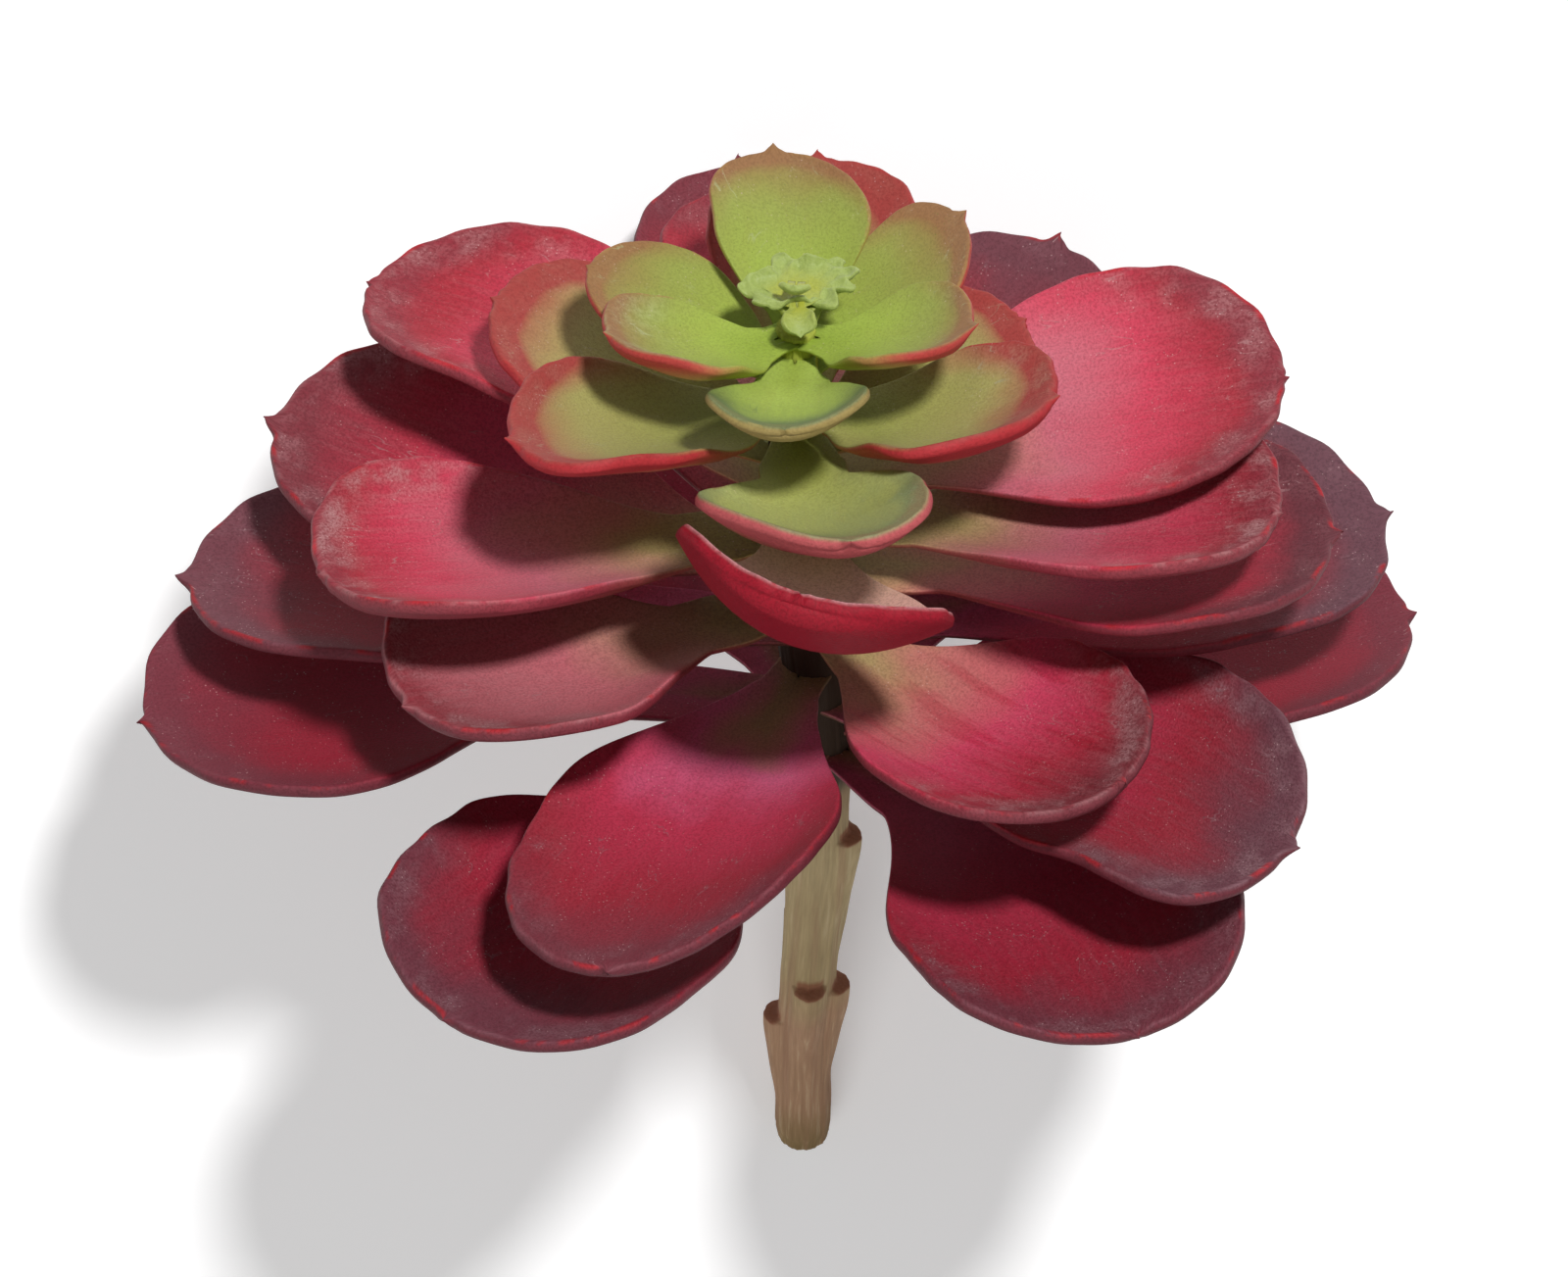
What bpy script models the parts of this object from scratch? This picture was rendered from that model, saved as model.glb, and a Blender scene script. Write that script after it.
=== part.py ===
"""Cut lipstick echeveria: a scarred stem, six tiers of six spoon-shaped leaves and a frilled heart.

The plant is described as it grows, upright, in millimetres and degrees: heights run up the stem,
azimuth 0 points right (+X) and azimuth -90 points to the front (-Y).  It is then
laid on its back, where it rests on the cut end of its stem and on two leaves of its lowest tier.
"""

from collections import namedtuple
from math import pi, radians, sin

import bmesh
import bpy
import numpy as np
from mathutils import Matrix

MM = 0.001

# ---- stem ----
STEM_FOOT_AT = 4.0                     # height of the cut end, where the stem starts
STEM_LENGTH = 192.0
STEM_FOOT_OFFSET = 1.3                 # how far right of the crown the cut end stands
STEM_BOW = 3.4                         # how far the middle bows to the right
STEM_SIDES = 16
# height and radius up the stem
STEM_TAPER = ((4, 4.1), (8, 4.6), (94, 4.6), (101, 5.5), (156, 5.5), (164, 4.4), (178, 4.2), (182, 3.3), (192, 2.8))
SCAR_RISE = 2.3                        # how far the stub of a fallen leaf stands out of the stem
SCAR_RUN = 26.0                        # how far below its scar a stub starts to swell
SCAR_HALF_ANGLE = 42.0
SCARS = (                              # height, azimuth of each fallen leaf's scar
    (36, 178), (47, -88), (44, -4), (82, -18), (27, 88), (58, 118), (66, 40), (84, 150),
)

# ---- leaves ----
LEAF_ROWS = 9                          # rings from the base to the blade's end
LEAF_COLUMNS = 5                       # points across the upper face, and as many across the lower
TAPER_END = 1.7                        # how much closer the rings get towards the end
OPENING = 1.25                         # how gently a blade starts to open from its neck

# A tier's build: widths, thicknesses and the nib, the small point at a leaf's end.
Form = namedtuple("Form", "base_width neck_width neck_at neck_thick blade_thick rim_thick nib start")
CROWN = Form(6.0, 11.0, 0.22, 3.0, 2.4, 1.2, 1.2, 3.7)
INNER = Form(8.0, 13.0, 0.18, 4.0, 3.2, 1.6, 1.5, 4.9)
OUTER = Form(9.0, 12.0, 0.15, 5.0, 4.0, 1.8, 2.2, 6.0)
TONGUE = Form(2.4, 3.4, 0.25, 1.4, 1.2, 0.9, 0.5, 2.3)
CURL = Form(2.6, 3.0, 0.30, 0.9, 0.8, 0.7, 0.4, 0.8)

# height and azimuth of the base, length and width, pitch at base and tip, roll about its own axis,
# sideways bend, depth of the cup, where along the leaf the blade starts to widen and where it is widest,
# how square its round end is, how far the tip is off centre, and the nib's share of the tier's full nib
Leaf = namedtuple("Leaf", "height azimuth length width pitch tip_pitch roll bend cup flare widest square skew nib")

TIERS = (
    ("crown_leaf", CROWN, (
        Leaf(188.4, -93, 28, 23, 8, 40, 4, 0, 0.32, 0.25, 0.68, 2.6, 0, 0.3),
        Leaf(191.4, -24, 24.5, 22, 8, 34, -12, 12, 0.33, 0.1, 0.58, 3.0, 0, 1.0),
        Leaf(184.5, 37, 30, 21, 20, 25, -6, -5, 0.12, 0.1, 0.58, 2.6, 0.3, 0.7),
        Leaf(189, 92, 29, 23, 20, 22, 0, 0, 0.25, 0.1, 0.58, 2.6, 0.2, 0.8),
        Leaf(183, 157, 31, 22, 22, 26, 2, 8, 0.12, 0.1, 0.55, 2.2, 0.1, 0.3),
        Leaf(191.4, -151, 26, 22, 1, 34, 12, -14, 0.33, 0.1, 0.58, 3.0, -0.3, 0.5),
    )),
    ("inner_leaf", INNER, (
        Leaf(174, -86, 39, 32, 2, 41, 2, 0, 0.36, 0.3, 0.68, 2.4, 0.3, 0.8),
        Leaf(178.5, -30, 36, 31, 2, 33, -12, 18, 0.32, 0.1, 0.60, 2.6, 0.25, 0.7),
        Leaf(168.5, 26, 34, 28, 13, 21, 0, 0, 0.12, 0.1, 0.60, 2.6, 0, 0.4),
        Leaf(175, 86, 41, 31, 12, 20, 0, 0, 0.25, 0.1, 0.66, 3.0, 0, 0.7),
        Leaf(167, 159, 46, 32, 18, 24, 2, 4, 0.12, 0.1, 0.62, 2.6, 0, 0.4),
        Leaf(179, -149, 43, 31, 0, 30, 13, -16, 0.32, 0.1, 0.60, 3.0, 0.25, 0.8),
    )),
    ("upper_leaf", OUTER, (
        Leaf(156.5, -90, 50, 41, -5, 72, -18, 0, 0.35, 0.05, 0.70, 3.4, 0, 0.25),
        Leaf(154.5, -10, 67, 43, 3, 18, -9, 0, 0.30, 0.18, 0.72, 3.0, 0, 0.2),
        Leaf(160.5, 17, 69, 43, 6, 16, 8, -21, 0.25, 0.12, 0.64, 2.6, 0, 0.2),
        Leaf(154, 90, 62, 44, 2, 8, 0, 0, 0.25, 0.1, 0.66, 3.0, 0, 0.8),
        Leaf(159.2, 144, 68.5, 42.5, 9, 13, 10, 16, 0.25, 0.14, 0.62, 2.4, 0.2, 0.3),
        Leaf(152.5, -161.5, 70, 43, 3, 18, 13, 0, 0.30, 0.18, 0.72, 3.0, 0, 0.2),
    )),
    ("middle_leaf", OUTER, (
        Leaf(134, -52, 60.5, 45, -10, 30, -8, 19, 0.25, 0.12, 0.54, 3.0, -0.1, 0.2),
        Leaf(143, -4, 74.5, 42, 3, 16, 0, 0, 0.25, 0.2, 0.66, 3.0, 0, 0.6),
        Leaf(135.6, 47, 58, 42, 2, 12, 0, 0, 0.25, 0.1, 0.66, 3.0, 0, 0.8),
        Leaf(139.3, 107, 60, 42, 2, 12, 0, 0, 0.25, 0.1, 0.66, 3.0, 0, 0.8),
        Leaf(143, 169, 78, 44, 3, 19, -2, 0, 0.25, 0.12, 0.62, 3.0, 0, 0.8),
        Leaf(137.6, -147, 66, 42.5, 6, 20, 8, 0, 0.30, 0.24, 0.68, 3.0, 0, 0.5),
    )),
    ("lower_leaf", OUTER, (
        Leaf(123, -117.5, 78.5, 44.5, 2, 22, 8, 20, 0.25, 0.05, 0.54, 2.6, -0.2, 0.4),
        Leaf(115.6, -30, 81.5, 45, 5, 22, 0, 0, 0.25, 0.10, 0.60, 4.2, -0.4, 0.8),
        Leaf(129, 11.5, 84, 44, 0, 14, 7, 0, 0.25, 0.15, 0.66, 3.0, -0.15, 0.7),
        Leaf(119, 65, 84, 43, 5, 20, 0, -3, 0.25, 0.1, 0.66, 3.0, 0, 0.8),
        Leaf(130.7, 97, 90, 40, 0, 12, 0, 0, 0.25, 0.1, 0.66, 3.0, 0, 0.8),
        Leaf(130, 180, 90, 42, 4, 9, 6, 0, 0.25, 0.25, 0.70, 2.6, 0, 0.8),
    )),
    ("base_leaf", OUTER, (
        Leaf(105.5, -128.5, 87, 50.5, 2, 20, 0, 0, 0.25, 0.26, 0.60, 4.2, 0.08, 0.3),
        Leaf(105, -43.5, 84.5, 51, 1, 20, 0, -28, 0.25, 0.17, 0.60, 3.4, -0.1, 0.6),
        Leaf(109, 7.3, 88, 50, -1, 15, -9, 0, 0.25, 0.1, 0.66, 3.0, 0, 0.5),
        Leaf(105, 65, 89, 43, 0, 14, 0, 0, 0.25, 0.1, 0.66, 3.0, 0, 0.8),
        Leaf(109.5, 118, 89, 43, 0, 14, 0, 0, 0.25, 0.1, 0.66, 3.0, 0, 0.8),
        Leaf(113.5, -175, 99, 47, 10, 5, 2, 12, 0.25, 0.42, 0.76, 2.2, -0.1, 0.5),
    )),
)

# ---- heart: the growing point, a frilled plate on a short stalk, and its two smallest leaves ----
HEART_GAP = 0.35                       # clear of the stem's top
HEART_HALF_WIDTH = 8.4
HEART_HALF_DEPTH = 5.8
HEART_SIDE = 0.6                       # how far right of the stem's axis the plate's middle lies
HEART_BACK = 3.4                       # how far behind the stem's axis the plate's middle lies
HEART_SEGMENTS = 32
HEART_PROFILE = (                      # share of the plate's radius, height above the stem's top, frill
    (0.20, 0.0, 0.0), (0.22, 2.4, 0.0), (0.36, 4.2, 0.1), (0.66, 4.9, 0.5), (0.96, 5.5, 1.0),
    (1.00, 6.1, 1.0), (0.94, 6.6, 1.0), (0.60, 6.3, 0.5), (0.25, 6.0, 0.1),
)
HEART_LOBES = ((3, 0.13, 50), (5, 0.13, 20), (8, 0.07, 75))      # count, depth, phase
HEART_RUFFLE = 0.7
HEART_LEAVES = (
    ("heart_tongue", TONGUE, Leaf(198.3, -84, 4.6, 4.6, -4, -30, 0, 0, 0.30, 0.12, 0.60, 3.0, 0, 1.0)),
    ("heart_curl", CURL, Leaf(200.65, -96, 3.0, 4.2, 15, 78, 0, 0, 0.35, 0.15, 0.55, 3.0, 0, 1.0)),
)

# ---- how the cut plant lies ----
LIE_BACK = 54.1                        # how far its axis leans back from upright
LIE_TURN = -4.0                        # turn about its own axis before it is laid back

# ---- colours, roughness ----
STEM_FINISH = ((0.62, 0.49, 0.31), 0.8)
HEART_FINISH = ((0.52, 0.58, 0.25), 0.6)
TIER_FINISH = {
    "crown_leaf": ((0.50, 0.53, 0.20), 0.6),
    "inner_leaf": ((0.52, 0.40, 0.19), 0.6),
    "upper_leaf": ((0.55, 0.14, 0.17), 0.6),
    "middle_leaf": ((0.49, 0.09, 0.13), 0.6),
    "lower_leaf": ((0.38, 0.07, 0.10), 0.6),
    "base_leaf": ((0.33, 0.06, 0.10), 0.6),
}


def smooth_step(low, high, value):
    """0 below low, 1 above high, and a smooth S between them."""
    share = np.clip((value - low) / (high - low), 0, 1)
    return share * share * (3 - 2 * share)


def stem_centre(height):
    """The stem's centreline: it leans to the foot's offset and bows to the right in the middle."""
    share = np.clip(np.asarray(height, float) / STEM_LENGTH, 0, 1)
    side = STEM_FOOT_OFFSET * (1 - share) + STEM_BOW * np.sin(pi * share) ** 3
    return np.stack([side, 0 * side, np.asarray(height, float)], -1)


def directions(azimuth, pitch):
    """Unit vectors for azimuths and pitches in radians."""
    return np.stack([np.cos(pitch) * np.cos(azimuth), np.cos(pitch) * np.sin(azimuth), np.sin(pitch)], -1)


def leaf_rings(leaf, form):
    """Rings of points round the leaf from its base to the end of its nib."""
    steps = np.linspace(0, 1, LEAF_ROWS)
    along = 1 - (1 - steps) ** TAPER_END * (1 - 0.2 * steps)

    # centreline: the pitch and the azimuth change evenly along it
    fine = np.linspace(0, 1, 201)
    pitch = np.radians(leaf.pitch + (leaf.tip_pitch - leaf.pitch) * fine)
    azimuth = np.radians(leaf.azimuth + leaf.bend * fine)
    heading = directions(azimuth, pitch)
    path = np.vstack([np.zeros(3), np.cumsum((heading[1:] + heading[:-1]) / 2, axis=0) * leaf.length / 200])
    clear_of_stem = form.start + form.neck_thick * max(0, -sin(radians(leaf.pitch)))
    path += stem_centre(leaf.height) + clear_of_stem * directions(np.radians(leaf.azimuth), 0.0)
    centre = np.stack([np.interp(along, fine, path[:, axis]) for axis in range(3)], -1)
    pitch = np.interp(along, fine, pitch)
    azimuth = np.interp(along, fine, azimuth)
    forward = directions(azimuth, pitch)
    flat_across = np.stack([-np.sin(azimuth), np.cos(azimuth), 0 * azimuth], -1)
    flat_up = np.cross(forward, flat_across)
    roll = (radians(leaf.roll) * smooth_step(0, 0.5, along))[:, None]
    across = flat_across * np.cos(roll) + flat_up * np.sin(roll)
    up = flat_up * np.cos(roll) - flat_across * np.sin(roll)

    # outline: a narrow base, a neck, the blade and its round end
    width = form.base_width + (form.neck_width - form.base_width) * smooth_step(0, form.neck_at, along)
    opened = np.clip((along - leaf.flare) / (leaf.widest - leaf.flare), 0, 1) ** OPENING
    width += (leaf.width - form.neck_width) * np.sin(pi / 2 * opened)
    past_widest = np.clip((along - leaf.widest) / (1 - leaf.widest), 0, 1)
    half = width / 2 * np.sqrt(1 - past_widest ** leaf.square)
    nib = form.nib * leaf.nib
    half = np.maximum(half, 0.4 * nib)
    centre += (leaf.skew * leaf.width / 2 * smooth_step(leaf.widest, 1, along))[:, None] * across

    # the nib: two more rings past the blade's end
    nib_steps = np.array([0.45, 1.0])
    centre = np.vstack([centre, centre[-1] + forward[-1] * nib * nib_steps[:, None]])
    half = np.append(half, nib * np.array([0.22, 0.03]))
    across = np.vstack([across, across[-1], across[-1]])
    up = np.vstack([up, up[-1], up[-1]])
    along = np.append(along, [1.0, 1.0])

    # upper face: cupped across; lower face: the upper one less the thickness
    share = half / (leaf.width / 2)
    side = np.linspace(-1, 1, LEAF_COLUMNS)
    rise = leaf.cup * smooth_step(0.05, 0.45, along) * half
    upper = (centre[:, None] + (half[:, None] * side)[..., None] * across[:, None]
             + (rise[:, None] * side ** 2)[..., None] * up[:, None])
    body = form.neck_thick + (form.blade_thick - form.neck_thick) * smooth_step(0.1, 0.7, along)
    rim = form.rim_thick * (1.6 - 0.6 * smooth_step(0, 0.3, along))
    fullness = np.clip(share * 1.6, 0, 1)[:, None] * (1 - side ** 2)
    squeeze = np.clip(half / (form.rim_thick * 0.9), 0.05, 1) ** 0.7
    thickness = (rim[:, None] + (body - rim)[:, None] * fullness) * squeeze[:, None]
    lower = upper - thickness[..., None] * up[:, None]
    return np.concatenate([upper, lower[:, ::-1]], axis=1)


def stem_rings():
    """Rings of points up the stem, with a stub swelling under each scar and ending in a step."""
    heights = set(np.linspace(STEM_FOOT_AT, STEM_LENGTH, 15).round(1)) | {height for height, _ in STEM_TAPER}
    for height, _ in SCARS:
        heights |= {height - 0.6 * SCAR_RUN, height - 0.3 * SCAR_RUN, height - 0.8, height, height + 1.2}
    heights = np.array(sorted(height for height in heights if STEM_FOOT_AT <= height <= STEM_LENGTH))
    heights = heights[np.append(True, np.diff(heights) > 0.55)]
    angles = np.linspace(0, 2 * pi, STEM_SIDES, endpoint=False)
    radius = np.interp(heights, *zip(*STEM_TAPER))[:, None] + 0 * angles
    for height, azimuth in SCARS:
        turn = np.abs((angles - radians(azimuth) + pi) % (2 * pi) - pi)
        window = np.cos(np.clip(turn / radians(SCAR_HALF_ANGLE), 0, 1) * pi / 2) ** 1.2
        swell = smooth_step(height - SCAR_RUN, height, heights) * (heights <= height)
        radius = radius + SCAR_RISE * swell[:, None] * window
    circle = np.stack([np.cos(angles), np.sin(angles), 0 * angles], -1)
    return stem_centre(heights)[:, None] + radius[..., None] * circle


def heart_rings():
    """Rings of points from the stalk's foot, out under the frilled plate, over its rim and in."""
    angles = np.linspace(0, 2 * pi, HEART_SEGMENTS, endpoint=False)
    frill = sum(depth * np.cos(count * (angles - radians(phase))) for count, depth, phase in HEART_LOBES)
    ruffle = HEART_RUFFLE * np.cos(4 * angles + 1.0)
    middle = stem_centre(STEM_LENGTH)
    rings = []
    for share, height, frilled in HEART_PROFILE:
        reach = share * (1 + frilled * frill)
        x = HEART_HALF_WIDTH * reach * np.cos(angles) + HEART_SIDE * smooth_step(0.2, 0.7, share)
        depth = HEART_HALF_WIDTH + (HEART_HALF_DEPTH - HEART_HALF_WIDTH) * min(1, 2 * share - 0.4) * (share > 0.2)
        y = depth * reach * np.sin(angles) + HEART_BACK * smooth_step(0.2, 0.7, share)
        z = HEART_GAP + height + frilled * ruffle
        rings.append(middle + np.stack([x, y, z], -1))
    return np.array(rings)


def material(name, finish):
    """A plain Principled material."""
    colour, roughness = finish
    made = bpy.data.materials.new(name)
    made.use_nodes = True
    shader = made.node_tree.nodes["Principled BSDF"]
    shader.inputs["Base Color"].default_value = (*colour, 1)
    shader.inputs["Roughness"].default_value = roughness
    shader.inputs["Metallic"].default_value = 0
    made.diffuse_color = (*colour, 1)
    return made


def skin(name, rings, finish, parent):
    """One closed body: the rings are joined in order and both ends are closed round a middle point."""
    mesh = bpy.data.meshes.new(name)
    shape = bmesh.new()
    loops = [[shape.verts.new(point * MM) for point in ring] for ring in rings]
    for lower, upper in zip(loops, loops[1:]):
        for index in range(len(lower)):
            after = (index + 1) % len(lower)
            shape.faces.new((lower[index], lower[after], upper[after], upper[index]))
    for ring, loop in ((rings[0], loops[0]), (rings[-1], loops[-1])):
        middle = shape.verts.new(ring.mean(axis=0) * MM)
        for index in range(len(loop)):
            shape.faces.new((loop[index], loop[(index + 1) % len(loop)], middle))
    bmesh.ops.recalc_face_normals(shape, faces=shape.faces)
    shape.to_mesh(mesh)
    shape.free()
    mesh.shade_smooth()
    mesh.set_sharp_from_angle(angle=radians(60))
    mesh.materials.append(material(name, finish))
    piece = bpy.data.objects.new(name, mesh)
    piece.parent = parent
    bpy.context.scene.collection.objects.link(piece)
    return piece


def build():
    """The whole plant, then laid on its back with its origin below its middle."""
    for old in list(bpy.data.objects):
        bpy.data.objects.remove(old)
    plant = bpy.data.objects.new("plant", None)
    bpy.context.scene.collection.objects.link(plant)

    pieces = [skin("stem", stem_rings(), STEM_FINISH, plant)]
    for tier, form, leaves in TIERS:
        for number, leaf in enumerate(leaves, start=1):
            pieces.append(skin(f"{tier}_{number}", leaf_rings(leaf, form), TIER_FINISH[tier], plant))
    pieces.append(skin("heart", heart_rings(), HEART_FINISH, plant))
    for name, form, leaf in HEART_LEAVES:
        pieces.append(skin(name, leaf_rings(leaf, form), HEART_FINISH, plant))

    lie = Matrix.Rotation(radians(-LIE_BACK), 4, "X") @ Matrix.Rotation(radians(LIE_TURN), 4, "Z")
    points = np.array([lie @ corner.co for piece in pieces for corner in piece.data.vertices])
    low, high = points.min(axis=0), points.max(axis=0)
    foot = Matrix.Translation((-(low[0] + high[0]) / 2, -(low[1] + high[1]) / 2, -low[2]))
    plant.matrix_world = foot @ lie


build()
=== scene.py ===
from collections import namedtuple

import bmesh
import bpy
import numpy as np
from mathutils import Matrix, Vector


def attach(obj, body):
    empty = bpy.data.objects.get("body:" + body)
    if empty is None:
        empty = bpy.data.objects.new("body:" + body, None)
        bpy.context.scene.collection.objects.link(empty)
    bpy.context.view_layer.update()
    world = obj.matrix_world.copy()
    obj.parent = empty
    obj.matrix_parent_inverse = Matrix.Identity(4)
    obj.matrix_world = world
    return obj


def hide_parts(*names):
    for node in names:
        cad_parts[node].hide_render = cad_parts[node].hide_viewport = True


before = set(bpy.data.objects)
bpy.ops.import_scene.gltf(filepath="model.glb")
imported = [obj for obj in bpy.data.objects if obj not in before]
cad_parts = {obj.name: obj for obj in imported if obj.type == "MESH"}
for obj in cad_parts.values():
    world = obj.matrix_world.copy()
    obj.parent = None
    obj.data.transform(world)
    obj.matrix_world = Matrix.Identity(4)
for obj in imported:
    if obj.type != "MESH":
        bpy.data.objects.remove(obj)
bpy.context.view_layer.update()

# ---- How the cut plant lies ----
# A cut succulent with no holder lies on its back, on the stem's cut end and two of its lowest leaves.
# Every piece is worked out as the plant grows, upright from its cut end, in millimetres, and then laid down.

MM = 0.001
LIE_BACK = np.radians(-54.1)
LIE_TURN = np.radians(-4.0)
STEM_FOOT_AT = 4.0
STEM_LENGTH = 192.0
FOOT_TO_SIDE = 1.3
STEM_BOW = 3.4
CUT_EVENNESS = 0.01

LAID = np.array(Matrix.Rotation(LIE_BACK, 3, "X") @ Matrix.Rotation(LIE_TURN, 3, "Z"))


def stem_centre(height):
    """The stem's middle at a height: a straight lean from the foot, plus a bow that follows a cubed sine."""
    height = np.asarray(height, float)
    share = np.clip(height / STEM_LENGTH, 0, 1)
    side = FOOT_TO_SIDE * (1 - share) + STEM_BOW * np.sin(np.pi * share) ** 3
    return np.stack([side, 0 * side, height], -1)


def cut_end_of(node):
    """Where the plant's zero point lies: the middle of the CAD stem's cut end, less that end's own place."""
    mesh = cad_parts[node].data
    points = np.empty(len(mesh.vertices) * 3)
    mesh.vertices.foreach_get("co", points)
    upright = points.reshape(-1, 3) @ LAID
    cut = upright[upright[:, 2] < upright[:, 2].min() + CUT_EVENNESS * MM]
    return (cut.min(axis=0) + cut.max(axis=0)) / 2 - stem_centre(STEM_FOOT_AT) * MM


PLANT_ZERO = cut_end_of("stem")


def lay(points):
    """Upright millimetres to metres on the floor: scaled, moved to the plant's zero point and turned."""
    return (points * MM + PLANT_ZERO) @ LAID.T


# ---- Stem ----
# The bare lower stem: dry, fibrous and straw-coloured, about 9 mm thick.  Where leaves have dropped off it
# keeps wedge-shaped stubs that end in a shelf with an oval scar, and its foot is cut across.  A papery
# remnant of a leaf curls off it just under the lowest whorl.

STEM_TAPER = (
    (4, 4.1), (8, 4.6), (94, 4.6), (101, 5.5), (156, 5.5), (164, 4.4), (178, 4.2), (182, 3.3), (192, 2.8),
)
SCARS = ((36, 178), (47, -88), (44, -4), (82, -18), (27, 88), (58, 118), (66, 40), (84, 150))
SCAR_RISE = 2.3
SCAR_RUN = 26.0
SCAR_HALF_ANGLE = np.radians(42)
SHELF_DROP = 0.9
FIBRE_DEPTH = 0.054
WAVE_DEPTH = 0.07
RING_STEP = 0.55
SHELF_RINGS = 9
STEM_COLUMNS = 120
CUT_ROUNDING = 0.7
CUT_HOLLOW = 0.15
CUT_RING_SHARE = 0.55
CUT_RING_LIFT = 0.1
REMNANT_GRID = (40, 16)
REMNANT_AT = 101.2
REMNANT_RISE = 3.4
REMNANT_FROM = -112
REMNANT_TO = -56
REMNANT_REACH = 5.9
REMNANT_CURL = 1.9
REMNANT_HALF_TALL = 0.75
REMNANT_HALF_THICK = 0.16
STRAW_HEIGHT = 60.0
WELD = 0.001


def smooth_step(low, high, value):
    """0 below low, 1 above high, and a smooth S between them."""
    share = np.clip((value - low) / (high - low), 0, 1)
    return share * share * (3 - 2 * share)


def closed_piece(name, grid, marks, material, node=None):
    """One closed skin from a grid of points (rows along, columns round).

    The columns join up, and rows drawn together to one point or one line close the ends.  marks are
    numbers or vectors kept at each point for the material to read.
    """
    rows, columns = grid.shape[:2]
    corner = np.arange(rows * columns).reshape(rows, columns)
    after = np.roll(corner, -1, axis=1)
    faces = np.stack([corner[:-1], after[:-1], after[1:], corner[1:]], -1).reshape(-1, 4)
    mesh = bpy.data.meshes.new(name)
    mesh.from_pydata(lay(grid.reshape(-1, 3)).tolist(), [], faces.tolist())
    for mark, values in marks.items():
        kind, key = ("FLOAT_VECTOR", "vector") if values.ndim == 3 else ("FLOAT", "value")
        kept = mesh.attributes.new(mark, kind, "POINT")
        kept.data.foreach_set(key, np.ascontiguousarray(values, np.float32).ravel())
    shape = bmesh.new()
    shape.from_mesh(mesh)
    bmesh.ops.remove_doubles(shape, verts=shape.verts, dist=WELD * MM)
    bmesh.ops.recalc_face_normals(shape, faces=shape.faces)
    shape.to_mesh(mesh)
    shape.free()
    mesh.shade_smooth()
    mesh.materials.append(material)
    piece = bpy.data.objects.new(name, mesh)
    bpy.context.scene.collection.objects.link(piece)
    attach(piece, "root")
    if node:
        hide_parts(node)
    return piece


def stem_surface():
    """Rings up the stem: taper, plus a wedge under each scar, plus fibres, with the cut end rounded over.

    A wedge grows as an S over its run, is cut off within the shelf's drop, and fades round the stem as a
    cosine.  Fibres are sines of the angle whose phase drifts with height.
    """
    height = np.arange(STEM_FOOT_AT, STEM_LENGTH + RING_STEP / 2, RING_STEP)
    steps = np.concatenate([scar + np.linspace(-0.3, SHELF_DROP + 0.3, SHELF_RINGS) for scar, _ in SCARS])
    height = np.unique(np.concatenate([height, steps]))
    angle = np.linspace(0, 2 * np.pi, STEM_COLUMNS, endpoint=False)
    h, a = np.meshgrid(height, angle, indexing="ij")
    radius = np.interp(h, *zip(*STEM_TAPER))
    radius = radius - CUT_ROUNDING * (1 - np.sqrt(np.clip((h - STEM_FOOT_AT) / CUT_ROUNDING, 0, 1)))
    shelf = 0 * h
    for scar, azimuth in SCARS:
        turn = np.abs((a - np.radians(azimuth) + np.pi) % (2 * np.pi) - np.pi)
        window = np.cos(np.clip(turn / SCAR_HALF_ANGLE, 0, 1) * np.pi / 2) ** 1.2
        grown = smooth_step(scar - SCAR_RUN, scar, h) * (1 - smooth_step(scar, scar + SHELF_DROP, h))
        radius = radius + SCAR_RISE * grown * window
        near = smooth_step(scar - 0.5, scar + 0.1, h) * (1 - smooth_step(scar + 1.6, scar + 2.6, h))
        shelf = np.maximum(shelf, near * smooth_step(0.25, 0.6, window))
    fibres = np.sin(9 * a + 0.05 * h) + np.sin(17 * a - 0.08 * h + 1) + 0.8 * np.sin(31 * a + 0.11 * h + 2)
    waves = np.sin(0.21 * h + 2 * a) + np.sin(0.47 * h - a + 1)
    radius = radius + FIBRE_DEPTH * fibres + WAVE_DEPTH * waves
    ring = np.stack([np.cos(a), np.sin(a), 0 * a], -1)
    points = stem_centre(h) + radius[..., None] * ring
    foot = stem_centre(np.full(STEM_COLUMNS, STEM_FOOT_AT)) + np.array([0, 0, CUT_HOLLOW])
    top = stem_centre(np.full(STEM_COLUMNS, STEM_LENGTH))
    inner = foot + CUT_RING_SHARE * (points[0] - foot) + np.array([0, 0, CUT_RING_LIFT])
    points = np.concatenate([foot[None], inner[None], points, top[None]])
    grown = np.stack([radius * np.cos(a), radius * np.sin(a), h], -1)
    grown = np.concatenate([grown[:1] * 0, grown[:1] * CUT_RING_SHARE, grown, grown[-1:]])
    shelf = np.concatenate([shelf[:1], shelf[:1], shelf, shelf[-1:]])
    return points, {"grown": grown, "shelf": shelf}


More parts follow.
